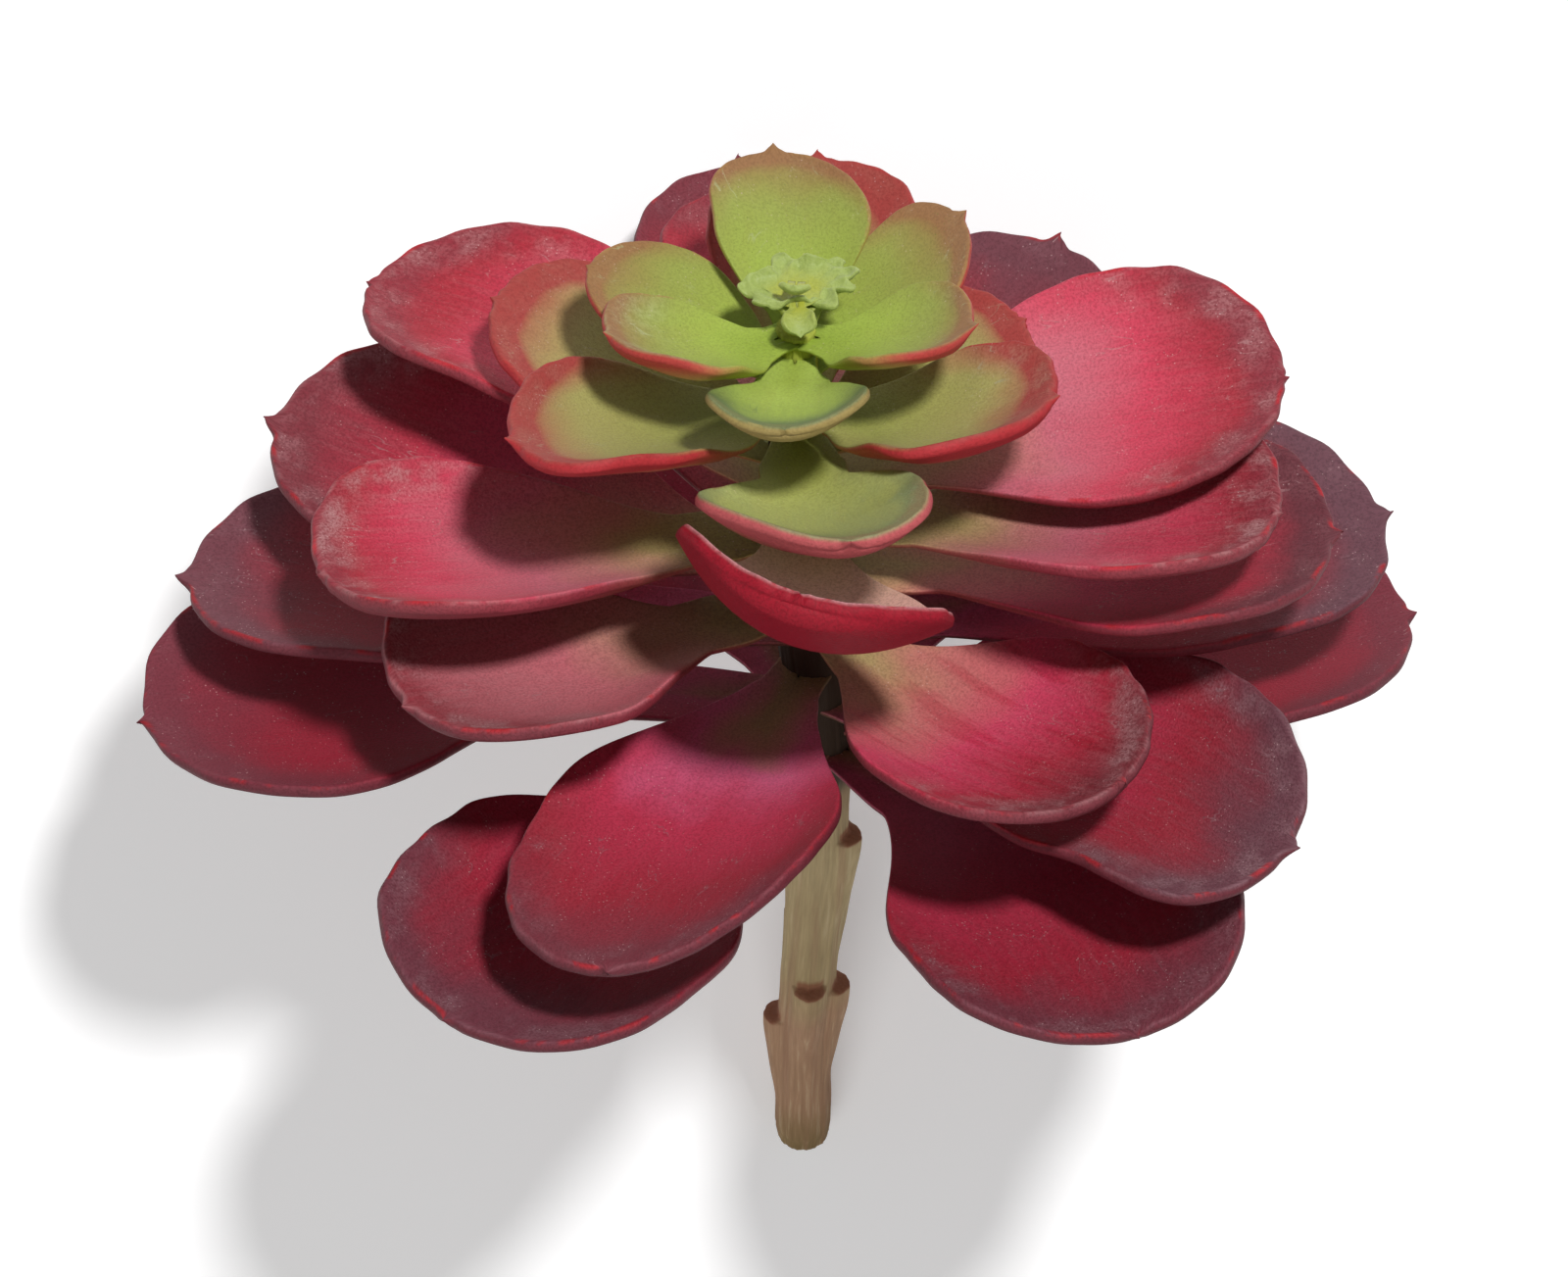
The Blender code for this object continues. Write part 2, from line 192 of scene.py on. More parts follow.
class Value:
    """What a material node gives out.  Arithmetic on it adds Math nodes, and node() adds any other node."""

    def __init__(self, tree, socket):
        self.tree = tree
        self.socket = socket

    def node(self, kind, settings=None, inputs=None, output=0):
        """Adds a node: its settings, a ramp's stops among them, then the values or links of its sockets."""
        made = self.tree.nodes.new(kind)
        for name, value in (settings or {}).items():
            if name == "stops":
                ramp = made.color_ramp
                while len(ramp.elements) < len(value):
                    ramp.elements.new(0.5)
                for element, (place, colour) in zip(ramp.elements, value):
                    element.position = place
                    element.color = (*colour, 1)
            else:
                setattr(made, name, value)
        for name, value in (inputs or {}).items():
            if isinstance(value, Value):
                self.tree.links.new(value.socket, made.inputs[name])
            else:
                made.inputs[name].default_value = value
        return Value(self.tree, made.outputs[output])

    def maths(self, operation, *values):
        return self.node("ShaderNodeMath", {"operation": operation}, dict(enumerate(values or (self,))))

    def __add__(self, other):
        return self.maths("ADD", self, other)

    def __sub__(self, other):
        return self.maths("SUBTRACT", self, other)

    def __rsub__(self, other):
        return self.maths("SUBTRACT", other, self)

    def __mul__(self, other):
        return self.maths("MULTIPLY", self, other)

    def between(self, low, high):
        """0 where this is at low, 1 where it is at high, and a smooth S between."""
        return self.node("ShaderNodeMapRange", {"interpolation_type": "SMOOTHSTEP"},
                         {0: self, 1: low, 2: high, 3: 0.0, 4: 1.0})

    def off_line(self, level, width):
        """0 along the thin line where this is close to a level, 1 where it is a width or more away."""
        off = (self - level).maths("ABSOLUTE")
        return off.between(width * 0.4, width)

    def ramp(self, stops):
        """The colour at this place on a ramp of (place, colour) stops."""
        return self.node("ShaderNodeValToRGB", {"stops": stops}, {0: self})

    def over(self, lower, upper, how="MIX"):
        """Lays the colour upper over lower, as strongly as this number says."""
        inputs = {0: self}
        for index, colour in ((6, lower), (7, upper)):
            inputs[index] = colour if isinstance(colour, Value) else (*colour, 1)
        return self.node("ShaderNodeMix", {"data_type": "RGBA", "blend_type": how}, inputs, 2)

    def stretched(self, along, across, apart=0.0):
        """This place, in millimetres, scaled for a pattern that is drawn out along the piece."""
        kind = "ShaderNodeVectorMath"
        scaled = self.node(kind, {"operation": "MULTIPLY"}, {0: self, 1: (along, across, 1.0)})
        return scaled.node(kind, {"operation": "ADD"}, {0: scaled, 1: (apart, 0.0, 0.0)})

    def noise(self, size, detail=3.0, roughness=0.5):
        """A cloudy number round 0.5 over this place, with clouds of about that size in millimetres."""
        return self.node("ShaderNodeTexNoise", None,
                         {"Vector": self, "Scale": 1 / size, "Detail": detail, "Roughness": roughness})

    def specks(self, size):
        """How near the middle of a scattered speck this place is, in cells of that size in millimetres."""
        return self.node("ShaderNodeTexVoronoi", {"feature": "F1"}, {"Vector": self, "Scale": 1 / size})


def new_material(name, roughness, sheen=0.0, specular=0.4):
    """An empty Principled material: its shader node, and a first value to build on."""
    material = bpy.data.materials.new(name)
    material.use_nodes = True
    shader = material.node_tree.nodes["Principled BSDF"]
    shader.inputs["Roughness"].default_value = roughness
    shader.inputs["Specular IOR Level"].default_value = specular
    shader.inputs["Sheen Weight"].default_value = sheen
    shader.inputs["Sheen Roughness"].default_value = 0.5
    return material, shader, Value(material.node_tree, None)


def finish_shader(value, shader, colour, roughness, relief, depth):
    """Joins a material's colour, roughness and relief to its shader.  depth is in millimetres."""
    bump = value.node("ShaderNodeBump", None, {"Height": relief, "Distance": depth * MM, "Strength": 1.0})
    value.tree.links.new(colour.socket, shader.inputs["Base Color"])
    value.tree.links.new(roughness.socket, shader.inputs["Roughness"])
    value.tree.links.new(bump.socket, shader.inputs["Normal"])


def dry_stem_material():
    """Straw-coloured fibres, pinkish tan on the lower stubs, olive at the cut, red-brown on the shelves."""
    material, shader, value = new_material("dry_stem", 0.75, specular=0.15)
    grown = value.node("ShaderNodeAttribute", {"attribute_name": "grown"}, None, "Vector")
    shelf = value.node("ShaderNodeAttribute", {"attribute_name": "shelf"}, None, "Fac")
    height = grown.node("ShaderNodeSeparateXYZ", None, {0: grown}, 2)
    drawn_out = grown.node("ShaderNodeVectorMath", {"operation": "MULTIPLY"}, {0: grown, 1: (1, 1, 0.06)})
    fibres = drawn_out.noise(0.7, 4.0, 0.6)
    strands = drawn_out.noise(2.2, 2.0)
    blotches = grown.noise(9.0, 3.0)
    place = height * (1 / 100) + (blotches - 0.5) * 0.12
    # The ramp's last stop darkens the stem from about 80 mm up, towards the rosette: painted shade.
    colour = place.ramp((
        (0.00, (0.14, 0.085, 0.03)), (0.05, (0.25, 0.165, 0.07)), (0.16, (0.40, 0.235, 0.135)),
        (0.38, (0.45, 0.27, 0.16)), (0.50, (0.44, 0.33, 0.17)), (0.80, (0.50, 0.39, 0.21)),
        (0.96, (0.30, 0.20, 0.11)),
    ))
    colour = fibres.between(0.35, 0.75).over(colour, (0.80, 0.80, 0.80), "MULTIPLY")
    colour = ((1 - fibres.between(0.25, 0.48)) * 0.45).over(colour, (0.60, 0.50, 0.32))
    colour = (strands.between(0.52, 0.7) * 0.35).over(colour, (0.30, 0.155, 0.095))
    colour = (blotches.between(0.60, 0.74) * 0.3).over(colour, (0.24, 0.16, 0.07))
    colour = (shelf * 0.8).over(colour, (0.27, 0.095, 0.055))
    # Painted shade: near-black from 92-99 mm up, where the rosette's leaves shade the stem.
    colour = height.between(92, 99).over(colour, (0.045, 0.028, 0.018))
    colour = height.between(168, 180).over(colour, (0.36, 0.40, 0.06))
    finish_shader(value, shader, colour, fibres * 0.2 + 0.65, fibres + strands * 0.6, 0.25)
    return material


def papery_remnant_surface():
    """A thin strip with a flat oval section, curling up round the front of the stem and away from it.

    It takes the colour of the straw-like stretch half way up the stem.
    """
    rows, columns = REMNANT_GRID
    share = np.linspace(0, 1, rows)
    round_section = np.linspace(0, 2 * np.pi, columns, endpoint=False)
    azimuth = np.radians(REMNANT_FROM + (REMNANT_TO - REMNANT_FROM) * share)
    reach = REMNANT_REACH + REMNANT_CURL * share ** 2 + 0.15 * np.sin(9 * share)
    height = REMNANT_AT + REMNANT_RISE * smooth_step(0, 1, share) + 0.2 * np.sin(14 * share)
    radial = np.stack([np.cos(azimuth), np.sin(azimuth), 0 * azimuth], -1)
    centre = stem_centre(height) + reach[:, None] * radial
    taper = (np.clip(np.sin(np.pi * share), 0, 1) ** 0.5)[:, None]
    tall = (REMNANT_HALF_TALL * taper * np.cos(round_section))[..., None] * np.array([0, 0, 1.0])
    thick = (REMNANT_HALF_THICK * taper * np.sin(round_section))[..., None] * radial[:, None]
    points = centre[:, None] + tall + thick
    straw = points * np.array([1, 1, 0]) + np.array([0, 0, STRAW_HEIGHT])
    return points, {"grown": straw, "shelf": 0 * points[..., 0]}


DRY_STEM = dry_stem_material()
STEM_POINTS, STEM_MARKS = stem_surface()
closed_piece("stem_skin", STEM_POINTS, STEM_MARKS, DRY_STEM, "stem")
REMNANT_POINTS, REMNANT_MARKS = papery_remnant_surface()
closed_piece("papery_remnant", REMNANT_POINTS, REMNANT_MARKS, DRY_STEM)

# ---- Base leaves ----
# The lowest whorl: thick, rigid spoon-shaped leaves, dark crimson with a grey-purple bloom towards the end.
# Each grows out of the stem on a narrow neck, is cupped across, and has a thick rim and a small horny nib.

Form = namedtuple("Form", "base_width neck_width neck_at neck_thick blade_thick rim_thick nib start")
Leaf = namedtuple("Leaf", "height azimuth length width pitch tip_pitch roll bend cup flare widest square"
                          " skew nib green bloom dusk")
OUTER_GRID = (96, 45)
OUTER = Form(9.0, 12.0, 0.15, 5.0, 4.0, 1.8, 2.7, 6.0)
OPENING = 1.25
INTO_STEM = 2.2
STEM_HOLD = 5.4
NIB_WIDTH = 1.35
NIB_ROWS = 2.5
NIB_ROWS_REACH = 2.6
MIDLINE_STEPS = 400
RIM_POINTS = 7
RIM_SQUARENESS = 0.4
RIM_TUCK = 0.62
NICK = 0.16
WAVE = 0.35


def half_width(leaf, form, along):
    """Half the leaf's width, and what share of it the rounded end leaves.

    The width goes from base to neck as an S step and opens into the blade as a quarter sine; the end is a
    flattened oval.
    """
    width = form.base_width + (form.neck_width - form.base_width) * smooth_step(0, form.neck_at, along)
    opened = np.clip((along - leaf.flare) / (leaf.widest - leaf.flare), 0, 1) ** OPENING
    width = width + (leaf.width - form.neck_width) * np.sin(np.pi / 2 * opened)
    past_widest = np.clip((along - leaf.widest) / (1 - leaf.widest), 0, 1)
    end = np.sqrt(np.clip(1 - past_widest ** leaf.square, 0, 1))
    return width / 2, end


def leaf_rows(leaf, form, count):
    """Places along the leaf, evenly spaced round its outline and closer together where the nib stands."""
    fine = 1 - (1 - np.linspace(0, 1, 4001)) ** 3
    half, end = half_width(leaf, form, fine)
    half = half * end
    near_nib = NIB_ROWS * np.exp(-(half / NIB_ROWS_REACH) ** 2) * (fine > leaf.widest)
    run = np.hypot(np.diff(fine) * leaf.length, np.diff(half)) * (1 + near_nib[1:])
    run = np.append(0, np.cumsum(run))
    rows = np.interp(np.linspace(0, run[-1], count), run, fine)
    return np.append([-INTO_STEM / leaf.length, -INTO_STEM / leaf.length / 2], rows)


def leaf_surface(leaf, form, rows, columns):
    """The skin of one leaf, and what its material reads.

    The midline's pitch and azimuth change evenly along it.  The upper face is a trough, half the width
    times the cup deep.  The rim has a squarish upper corner, a lower one that is tucked in part of the way,
    and small nicks.  The lower face lies a thickness below that is fullest in the middle.  A peak at the end
    draws the rim out into the nib, and the base is hollowed to clasp the stem.
    """
    along = leaf_rows(leaf, form, rows)
    on_leaf = np.clip(along, 0, 1)
    rim = form.rim_thick / 2 * (0.5 + 0.55 * smooth_step(0.15, 0.7, on_leaf))
    half, end = half_width(leaf, form, on_leaf)
    half_in = half * end * (1 - rim / np.maximum(half, 1e-6))

    lead = INTO_STEM / leaf.length
    fine = np.linspace(-lead, 1, MIDLINE_STEPS + 1)
    step = (1 + lead) / MIDLINE_STEPS * (leaf.length - form.rim_thick / 2)
    pitch = np.radians(leaf.pitch + (leaf.tip_pitch - leaf.pitch) * np.maximum(fine, 0))
    azimuth = np.radians(leaf.azimuth + leaf.bend * np.maximum(fine, 0))
    heading = np.stack([np.cos(pitch) * np.cos(azimuth), np.cos(pitch) * np.sin(azimuth), np.sin(pitch)], -1)
    path = np.vstack([np.zeros(3), np.cumsum((heading[1:] + heading[:-1]) / 2, axis=0) * step])
    out = np.array([np.cos(np.radians(leaf.azimuth)), np.sin(np.radians(leaf.azimuth)), 0])
    clear = form.start + form.neck_thick * max(0, -np.sin(np.radians(leaf.pitch)))
    path += stem_centre(leaf.height) + clear * out - lead * leaf.length * heading[0]
    centre = np.stack([np.interp(along, fine, path[:, axis]) for axis in range(3)], -1)
    pitch = np.interp(along, fine, pitch)
    azimuth = np.interp(along, fine, azimuth)
    forward = np.stack([np.cos(pitch) * np.cos(azimuth), np.cos(pitch) * np.sin(azimuth), np.sin(pitch)], -1)
    across = np.stack([-np.sin(azimuth), np.cos(azimuth), 0 * azimuth], -1)
    up = np.cross(forward, across)
    roll = (np.radians(leaf.roll) * smooth_step(0, 0.5, on_leaf))[:, None]
    across, up = across * np.cos(roll) + up * np.sin(roll), up * np.cos(roll) - across * np.sin(roll)
    centre = centre + (leaf.skew * leaf.width / 2 * smooth_step(leaf.widest, 1, on_leaf))[:, None] * across

    # one column for each point round a ring: upper face, right rim, lower face, left rim
    even = np.linspace(-1, 1, columns)
    upper_side = 0.4 * even + 0.6 * np.sin(even * np.pi / 2)
    even = np.linspace(1, -1, columns // 2 + 1)
    lower_side = 0.5 * even + 0.5 * np.sin(even * np.pi / 2)
    arc = np.linspace(0, np.pi, RIM_POINTS + 2)[1:-1]
    side = np.concatenate([upper_side, 1 + 0 * arc, lower_side, -1 + 0 * arc])
    turn = np.concatenate([0 * upper_side, arc, 0 * lower_side + np.pi, arc[::-1]])
    below = (turn > np.pi - 0.01).astype(float)
    outer = np.abs(np.sin(turn)) ** RIM_SQUARENESS * (turn > 0)
    tuck = (turn - np.pi / 2) * RIM_TUCK
    tucked = np.cos(tuck) * (1 - below * (1 - smooth_step(0.88, 1, np.abs(side))))
    bulge = np.where(turn < np.pi / 2, outer, tucked)
    stand = np.where(turn < np.pi / 2, np.abs(np.cos(turn)) ** RIM_SQUARENESS, -np.sin(tuck))

    rise = leaf.cup * smooth_step(0.05, 0.45, on_leaf) * half * end * end
    x = half_in[:, None] * side
    slope = 2 * (rise / np.maximum(half_in, 0.05))[:, None] * side
    normal = up[:, None] - np.clip(slope, -1, 1)[..., None] * across[:, None]
    normal /= np.linalg.norm(normal, axis=-1, keepdims=True)
    run = along * leaf.length
    steepness = np.gradient(half_in, run)
    steepness[-1] = -1e4
    outline = np.sign(side)[None, :, None] * across[:, None] - steepness[:, None, None] * forward[:, None]
    outline -= (outline * normal).sum(-1, keepdims=True) * normal
    outline /= np.linalg.norm(outline, axis=-1, keepdims=True)

    # how far each point is from the rim, measured over the leaf
    edge = (half_in[:, None] * (1 - np.abs(side))) / np.sqrt(1 + steepness ** 2)[:, None]
    edge = np.minimum(edge, (1 - on_leaf)[:, None] * leaf.length) + rim[:, None] * (1 - bulge)
    body = form.neck_thick + (form.blade_thick - form.neck_thick) * smooth_step(0.1, 0.7, on_leaf)
    fullness = np.clip(half_in / (leaf.width / 2) * 1.6, 0, 1)[:, None] * (1 - side ** 2)
    thick = 2 * rim[:, None] + (body - 2 * rim)[:, None] * fullness
    level = rim[:, None] * stand * (1 - below) + (rim[:, None] - thick) * below
    seed = np.radians(leaf.azimuth) + leaf.height
    wave = np.sin(7 * along[:, None] + 2.2 * np.sign(side) + seed) * np.abs(side) ** 3
    wave = wave + 0.6 * np.sin(15 * along[:, None] + 1.3 * side + 2 * seed) * side ** 2
    wave = WAVE * form.rim_thick / 2 * wave * (smooth_step(0.2, 0.6, on_leaf) * end)[:, None]
    lift = level - rim[:, None] + wave
    trough = (rise[:, None] * side ** 2)[..., None] * up[:, None]
    points = centre[:, None] + x[..., None] * across[:, None] + trough
    by_row = np.linspace(0, 1, len(along))[:, None]
    nick = np.sin(83 * by_row + 5 * np.sign(side) + 3 * seed)
    nick = nick + 0.8 * np.sin(47 * by_row - 2 * np.sign(side) + seed)
    rough = NICK * (form.rim_thick / OUTER.rim_thick) ** 4
    reach_out = rim[:, None] + rough * nick * smooth_step(0.35, 0.8, on_leaf)[:, None]
    points = points + lift[..., None] * normal + (reach_out * bulge)[..., None] * outline

    # the nib, then the hollow of the base
    nib = form.nib * leaf.nib
    at_end = np.clip(1 - np.abs(x) / (NIB_WIDTH * nib), 0, 1) ** 1.8
    at_end = at_end * np.exp(-(edge / (0.7 * nib)) ** 2) * (on_leaf > leaf.widest)[:, None]
    points = points + (nib * at_end)[..., None] * (forward + 0.25 * up)[:, None]
    points = points - (0.75 * level * at_end)[..., None] * normal
    reach_in = STEM_HOLD - np.sqrt(np.maximum(STEM_HOLD ** 2 - x ** 2, 1.0))
    points = points - (reach_in * (1 - smooth_step(0, 0.12, on_leaf))[:, None])[..., None] * forward[:, None]
    points = np.concatenate([0 * points[:1] + points[0].mean(axis=0), points])

    spread = np.broadcast_to(on_leaf[:, None], x.shape)
    place = np.stack([spread * leaf.length, x + np.sign(side) * rim[:, None] * bulge, level + 7 * seed], -1)
    marks = {"along": spread, "edge": edge, "under": 0 * x + turn / np.pi, "place": place}
    for mark in ("green", "bloom", "dusk"):
        marks[mark] = 0 * x + getattr(leaf, mark)
    return points, {mark: np.concatenate([values[:1], values]) for mark, values in marks.items()}


def leaf_material(name, top, below, rim, film_and_shade, tip, flush, flush_reach=9.0, brush=0.1, freckles=0.0,
                  coarse=1.0):
    """The skin of a whorl's leaves: a powdery, fleshy surface.

    top and below are colour ramps from base to end for the two faces; rim is the colour of the patchy line
    round the edge, film the pale bloom that collects near it (on the front crown leaf, a dark green band of
    painted shade), and tip the dusky colour of the end.
    flush is how much further towards the end a place near the rim counts as, and flush_reach how far in, in
    millimetres.  brush is the strength of the dark strokes along the leaf, freckles that of tiny dark dots,
    and coarse that of the grain.
    """
    material, shader, value = new_material(name, 0.6, specular=0.2)
    mark = {key: value.node("ShaderNodeAttribute", {"attribute_name": key}, None, "Fac")
            for key in ("along", "edge", "under", "green", "bloom", "dusk")}
    place = value.node("ShaderNodeAttribute", {"attribute_name": "place"}, None, "Vector")
    clouds = place.stretched(0.7, 1.0).noise(14.0, 3.0)
    patches = place.stretched(1.0, 1.0, 40.0).noise(6.0, 4.0, 0.6)
    streaks = place.stretched(0.14, 1.0).noise(3.2, 4.0, 0.6)
    wisps = place.stretched(0.16, 1.0, 70.0).noise(1.1, 5.0, 0.7)
    grain = place.noise(0.42, 3.0, 0.7)
    powder = place.stretched(1.0, 1.0, 9.0).specks(0.8)

    near_rim = 1 - mark["edge"].between(0.3, flush_reach)
    reach = mark["along"] + near_rim * flush - mark["green"] + (clouds - 0.5) * 0.26 + (patches - 0.5) * 0.06
    colour = reach.ramp(top)
    strokes = streaks.between(0.50, 0.64) * mark["along"].between(0.15, 0.35)
    colour = (strokes * brush).over(colour, (0.80, 0.30, 0.44), "MULTIPLY")
    dusky = mark["dusk"] * (mark["along"] + (clouds - 0.5) * 0.4 + near_rim * 0.12).between(0.72, 1.02)
    colour = (dusky * 0.9).over(colour, tip)
    dust = grain.between(0.36, 0.60) * 0.6 + 0.4
    band = mark["edge"].between(0.1, 1.2) * (1 - mark["edge"].between(2.0, 9.0))
    # The band near the rim: bloom on most leaves, painted shade on the front crown leaf, whose film colour
    # is dark green.
    film_and_shade_band = mark["bloom"] * band * mark["along"].between(0.4, 0.8) * patches.between(0.40, 0.66) * dust
    colour = (film_and_shade_band * 0.62).over(colour, film_and_shade)
    haze = mark["bloom"] * wisps.between(0.40, 0.72) * mark["along"].between(0.25, 0.75) * dust * 0.2
    colour = haze.over(colour, film_and_shade)
    scuffs = 1 - place.stretched(0.35, 1.0, 23.0).noise(3.4, 2.0, 0.5).off_line(0.5, 0.012)
    scuffs = scuffs * patches.between(0.52, 0.66) * mark["along"].between(0.3, 0.6)
    colour = (scuffs * 0.45).over(colour, film_and_shade)
    under_colour = (reach + (patches - 0.5) * 0.2).ramp(below)
    colour = mark["under"].between(0.30, 0.50).over(colour, under_colour)
    crest = mark["under"].between(0.02, 0.14) * (1 - mark["under"].between(0.34, 0.50))
    line = crest * patches.between(0.52, 0.62) * mark["along"].between(0.2, 0.6)
    colour = (line * 0.75).over(colour, rim)
    chalk = crest * (1 - patches.between(0.40, 0.50)) * mark["along"].between(0.4, 0.8) * mark["bloom"]
    colour = (chalk * 0.3).over(colour, film_and_shade)
    dots = (1 - powder.between(0.07, 0.18)) * patches.between(0.42, 0.60)
    dots = dots * (1 - mark["under"].between(0.02, 0.3))
    colour = (dots * (0.45 * coarse)).over(colour, (0.80, 0.56, 0.55))
    if freckles:
        freckle = 1 - place.specks(1.1).between(0.08, 0.18)
        colour = (freckle * grain.between(0.45, 0.60) * freckles).over(colour, (0.10, 0.14, 0.02))
    colour = ((1 - grain.between(0.34, 0.60)) * coarse).over(colour, (0.72, 0.70, 0.70), "MULTIPLY")
    roughness = grain * 0.16 + film_and_shade_band * 0.12 + 0.50
    finish_shader(value, shader, colour, roughness, grain * (0.7 * coarse) + patches * 0.5, 0.22)
    return material


def whorl(name, form, leaves, material, grid, first=1):
    """A whorl, or those leaves of it that share a material: each leaf's skin in place of its CAD solid.

    grid is the number of rows of points along a leaf, and of columns across its upper face.
    """
    for number, leaf in enumerate(leaves, start=first):
        node = f"{name}_{number}"
        points, marks = leaf_surface(leaf, form, *grid)
        closed_piece(f"{node}_skin", points, marks, material, node)


DARK_TOP = (
    (0.00, (0.20, 0.14, 0.05)), (0.14, (0.26, 0.13, 0.07)), (0.26, (0.44, 0.07, 0.13)),
    (0.50, (0.43, 0.026, 0.062)), (0.75, (0.35, 0.019, 0.040)), (1.00, (0.22, 0.028, 0.045)),
)
DARK_BELOW = (
    (0.00, (0.18, 0.13, 0.06)), (0.30, (0.18, 0.04, 0.05)), (0.70, (0.17, 0.020, 0.032)),
    (1.00, (0.15, 0.030, 0.042)),
)
BASE_SKIN = leaf_material(
    "base_leaf_skin", DARK_TOP, DARK_BELOW,
    (0.40, 0.016, 0.024), (0.25, 0.13, 0.15), (0.15, 0.046, 0.064), 0.18,
)
whorl("base_leaf", OUTER, (
    Leaf(105.5, -128.5, 87, 50.5, 2, 20, 0, 0, 0.25, 0.26, 0.60, 4.2, 0.08, 0.3, 0, 0.7, 0.8),
    Leaf(105, -43.5, 84.5, 51, 1, 20, 0, -28, 0.25, 0.17, 0.60, 3.4, -0.1, 0.6, 0, 0.8, 0.6),
    Leaf(109, 7.3, 88, 50, -1, 15, -9, 0, 0.25, 0.1, 0.66, 3.0, 0, 0.5, 0, 0.15, 0.2),
    Leaf(105, 65, 89, 43, 0, 14, 0, 0, 0.25, 0.1, 0.66, 3.0, 0, 0.8, 0, 0.3, 0.5),
    Leaf(109.5, 118, 89, 43, 0, 14, 0, 0, 0.25, 0.1, 0.66, 3.0, 0, 0.8, 0, 0.3, 0.5),
    Leaf(113.5, -175, 99, 47, 10, 5, 2, 12, 0.25, 0.42, 0.76, 2.2, -0.1, 0.5, 0, 0.25, 0.3),
), BASE_SKIN, OUTER_GRID)

# ---- Lower leaves ----
# The second whorl, as thick and fleshy as the first, and grown out of the stem just above it.  Crimson,
# pinker towards the neck, and greyish purple at the ends.

LOWER_TOP = (
    (0.00, (0.22, 0.17, 0.07)), (0.12, (0.36, 0.22, 0.11)), (0.26, (0.62, 0.11, 0.22)),
    (0.44, (0.52, 0.036, 0.082)), (0.70, (0.37, 0.026, 0.046)), (1.00, (0.23, 0.026, 0.040)),
)
LOWER_SKIN = leaf_material(
    "lower_leaf_skin", LOWER_TOP, DARK_BELOW,
    (0.42, 0.016, 0.024), (0.28, 0.15, 0.17), (0.13, 0.066, 0.086), 0.16,
)
whorl("lower_leaf", OUTER, (
    Leaf(123, -117.5, 78.5, 44.5, 2, 22, 8, 20, 0.25, 0.05, 0.54, 2.6, -0.2, 0.4, 0.04, 0.5, 0.35),
    Leaf(115.6, -30, 81.5, 45, 5, 22, 0, 0, 0.25, 0.10, 0.60, 4.2, -0.4, 0.8, 0, 1.1, 0.8),
    Leaf(129, 11.5, 84, 44, 0, 14, 7, 0, 0.25, 0.15, 0.66, 3.0, -0.15, 0.7, 0, 0.3, 0.9),
    Leaf(119, 65, 84, 43, 5, 20, 0, -3, 0.25, 0.1, 0.66, 3.0, 0, 0.8, 0, 0.3, 0.6),
    Leaf(130.7, 97, 90, 40, 0, 12, 0, 0, 0.25, 0.1, 0.66, 3.0, 0, 0.8, 0, 0.3, 0.2),
    Leaf(130, 180, 90, 42, 4, 9, 6, 0, 0.25, 0.25, 0.70, 2.6, 0, 0.8, 0, 0.35, 0.6),
), LOWER_SKIN, OUTER_GRID)

# ---- Middle leaves ----
# The third whorl, grown out of the stem like the two below: beige-green necks that turn pink and then
# crimson, with a chalky film near the rims.  One leaf has dark strokes along it, and one is paler.

MIDDLE_TOP = (
    (0.00, (0.30, 0.26, 0.08)), (0.16, (0.42, 0.30, 0.13)), (0.32, (0.56, 0.18, 0.16)),
    (0.52, (0.66, 0.060, 0.13)), (0.76, (0.46, 0.028, 0.056)), (1.00, (0.26, 0.030, 0.044)),
)
MIDDLE_BELOW = (
    (0.00, (0.24, 0.18, 0.07)), (0.30, (0.24, 0.05, 0.05)), (0.65, (0.22, 0.026, 0.040)),
    (1.00, (0.19, 0.036, 0.048)),
)
MIDDLE_SKIN = leaf_material(
    "middle_leaf_skin", MIDDLE_TOP, MIDDLE_BELOW,
    (0.48, 0.018, 0.026), (0.42, 0.23, 0.24), (0.12, 0.034, 0.046), 0.14,
)
STROKED_SKIN = leaf_material(
    "stroked_leaf_skin", MIDDLE_TOP, MIDDLE_BELOW,
    (0.50, 0.018, 0.026), (0.42, 0.23, 0.24), (0.18, 0.050, 0.060), 0.12,
    brush=0.55,
)
PALE_TOP = (
    (0.00, (0.30, 0.26, 0.08)), (0.16, (0.42, 0.32, 0.14)), (0.34, (0.48, 0.25, 0.17)),
    (0.54, (0.62, 0.17, 0.20)), (0.78, (0.52, 0.15, 0.175)), (1.00, (0.33, 0.050, 0.065)),
)
PALE_SKIN = leaf_material(
    "pale_leaf_skin", PALE_TOP, MIDDLE_BELOW,
    (0.50, 0.018, 0.026), (0.42, 0.24, 0.25), (0.18, 0.050, 0.060), 0.10,
)
whorl("middle_leaf", OUTER, (
    Leaf(134, -52, 60.5, 45, -10, 30, -8, 19, 0.25, 0.12, 0.54, 3.0, -0.1, 0.2, 0.02, 1, 0.4),
), STROKED_SKIN, OUTER_GRID)
